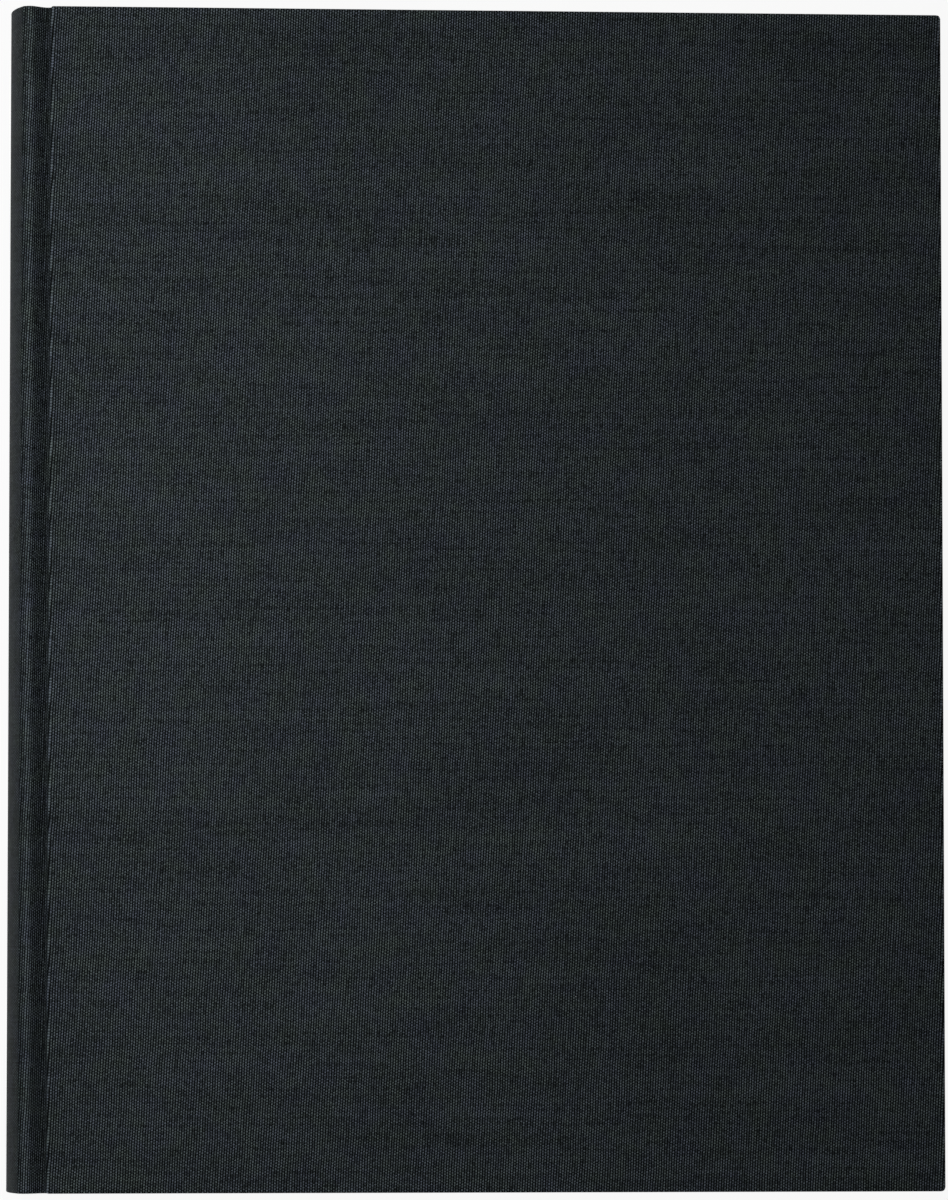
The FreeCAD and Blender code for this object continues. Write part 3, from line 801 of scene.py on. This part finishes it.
def dress_packed_pieces(paper):
    """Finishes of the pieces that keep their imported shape."""
    nodes = frame["nodes"]
    board = make_paper("binders_board", GREY_BOARD, GREY_BOARD_CLOUD, scale=400.0,
                       relief=0.05 * MM)
    kraft = make_paper("kraft_lining", KRAFT, KRAFT_CLOUD)
    silk = make_headband_silk()
    gauze = make_mull_gauze()
    finishes = {
        "text_block": make_leaf_edges(),
        "front_flyleaf": paper,
        "back_flyleaf": paper,
        "front_board": board,
        "back_board": board,
        "spine_inlay": board,
        "spine_lining": kraft,
        "spine_mull": gauze,
        "mull_flange_front": gauze,
        "mull_flange_back": gauze,
        "head_band": silk,
        "tail_band": silk,
    }
    for name, material in finishes.items():
        paint(nodes[name], material)


# ---------------------------------------------------------------- studio
CAMERA_FAR = 1.471
CAMERA_TO_SPINE = 3.83      # degrees off the plumb line
CAMERA_TO_TAIL = 3.31
LENS = 180.9
AIM_X = -0.16 * MM          # what the camera looks at, beside the middle of the book
AIM_Y = 0.26 * MM

KEY_PLACE = (-0.31, 0.08, 0.37)
KEY_SIZE = 0.30
KEY_WATTS = 1.85
KEY_COLOUR = (0.97, 0.99, 1.0)
FILL_FAR = 1.5
FILL_HIGH = 0.09
FILL_CONE = 20              # degrees
FILL_BLUR = 0.5             # soft share of the cone
FILL_SOFTNESS = 0.06
FORE_WATTS = 15
END_WATTS = 27

FLOOR_HALF = 4.0
FLOOR_DROP = 0.02 * MM      # keeps the floor clear of the back cover
FLOOR_GREY = (0.6, 0.6, 0.6, 1)
FLOOR_SEEN = 0.92           # share of the floor's white that is plain glow to the eye
WORLD_LEVEL = 0.15          # strength of the light from all round
WORLD_SEEN = 0.96


def make_camera():
    """Long lens from above, a little towards the spine and the tail, head of the book up."""
    aim = Vector((AIM_X, AIM_Y, MIDDLE))
    to_spine = math.tan(math.radians(CAMERA_TO_SPINE))
    to_tail = math.tan(math.radians(CAMERA_TO_TAIL))
    back = Vector((-to_spine, -to_tail, 1)).normalized()
    right = Vector((0, 1, 0)).cross(back).normalized()
    up = back.cross(right)
    data = bpy.data.cameras.new("Camera")
    data.lens = LENS
    data.clip_start = 0.05
    data.clip_end = 20
    camera = bpy.data.objects.new("Camera", data)
    turn = Matrix((right, up, back)).transposed().to_4x4()
    camera.matrix_world = Matrix.Translation(aim + back * CAMERA_FAR) @ turn
    bpy.context.scene.collection.objects.link(camera)
    bpy.context.scene.camera = camera


def turn_to_book(data, place):
    """Put a lamp in its place, turned towards the middle of the book."""
    lamp = bpy.data.objects.new(data.name, data)
    lamp.location = place
    lamp.rotation_mode = "QUATERNION"
    lamp.rotation_quaternion = Vector(place).to_track_quat("Z", "Y")
    bpy.context.scene.collection.objects.link(lamp)


def make_key_lamp():
    """Soft square lamp above the spine side."""
    data = bpy.data.lights.new("key", "AREA")
    data.shape = "SQUARE"
    data.size = KEY_SIZE
    data.energy = KEY_WATTS
    data.color = KEY_COLOUR
    turn_to_book(data, KEY_PLACE)


def make_spot(name, place, watts):
    """Weak low spot that opens up the leaf edges and leaves the floor alone."""
    data = bpy.data.lights.new(name, "SPOT")
    data.energy = watts
    data.spot_size = math.radians(FILL_CONE)
    data.spot_blend = FILL_BLUR
    data.shadow_soft_size = FILL_SOFTNESS
    turn_to_book(data, place)


def seen_directly(recipe):
    """1 for rays that show the stage itself: from the camera, or through a gloss or glass."""
    path = recipe.node("ShaderNodeLightPath").outputs
    seen = recipe.math("ADD", path["Is Camera Ray"], path["Is Glossy Ray"])
    return recipe.math("ADD", seen, path["Is Transmission Ray"], clamp=True)


def make_floor():
    """Pale floor that stays white to the eye and still takes a soft shadow."""
    bm = bmesh.new()
    bmesh.ops.create_grid(bm, x_segments=2, y_segments=2, size=FLOOR_HALF)
    mesh = bpy.data.meshes.new("floor")
    bm.to_mesh(mesh)
    bm.free()
    floor = bpy.data.objects.new("floor", mesh)
    floor.location.z = -FLOOR_DROP
    bpy.context.scene.collection.objects.link(floor)
    recipe = Recipe("pale_floor")
    recipe.plain(Base_Color=FLOOR_GREY, Roughness=1.0, Specular_IOR_Level=0.0)
    glow = recipe.node("ShaderNodeEmission")
    both = recipe.node("ShaderNodeMixShader")
    recipe.feed(both.inputs[0], recipe.math("MULTIPLY", seen_directly(recipe), FLOOR_SEEN))
    recipe.feed(both.inputs[1], recipe.shader.outputs[0])
    recipe.feed(both.inputs[2], glow.outputs[0])
    recipe.feed(recipe.output.inputs["Surface"], both.outputs[0])
    paint(floor, recipe.material)


def make_world():
    """Even light from all round, white where it is seen."""
    world = bpy.data.worlds.new("studio")
    world.use_nodes = True
    bpy.context.scene.world = world
    tree = world.node_tree
    path = tree.nodes.new("ShaderNodeLightPath")
    level = tree.nodes.new("ShaderNodeMapRange")
    level.inputs["To Min"].default_value = WORLD_LEVEL
    level.inputs["To Max"].default_value = WORLD_SEEN
    tree.links.new(path.outputs["Is Camera Ray"], level.inputs["Value"])
    sky = tree.nodes["Background"]
    sky.inputs["Color"].default_value = (1, 1, 1, 1)
    tree.links.new(level.outputs[0], sky.inputs["Strength"])


def make_studio():
    """Camera, pale floor, lamps and even light from all round."""
    make_camera()
    make_floor()
    make_world()
    make_key_lamp()
    make_spot("fore_fill", (FILL_FAR, 0, FILL_HIGH), FORE_WATTS)
    make_spot("head_fill", (0, FILL_FAR, FILL_HIGH), END_WATTS)
    make_spot("tail_fill", (0, -FILL_FAR, FILL_HIGH), END_WATTS)
    bpy.context.scene.view_settings.view_transform = "Standard"


PAPER_FINISH = make_paper("endpaper_white", ENDPAPER, ENDPAPER_CLOUD)
dress_case(make_cloth(), PAPER_FINISH)
dress_packed_pieces(PAPER_FINISH)
make_studio()
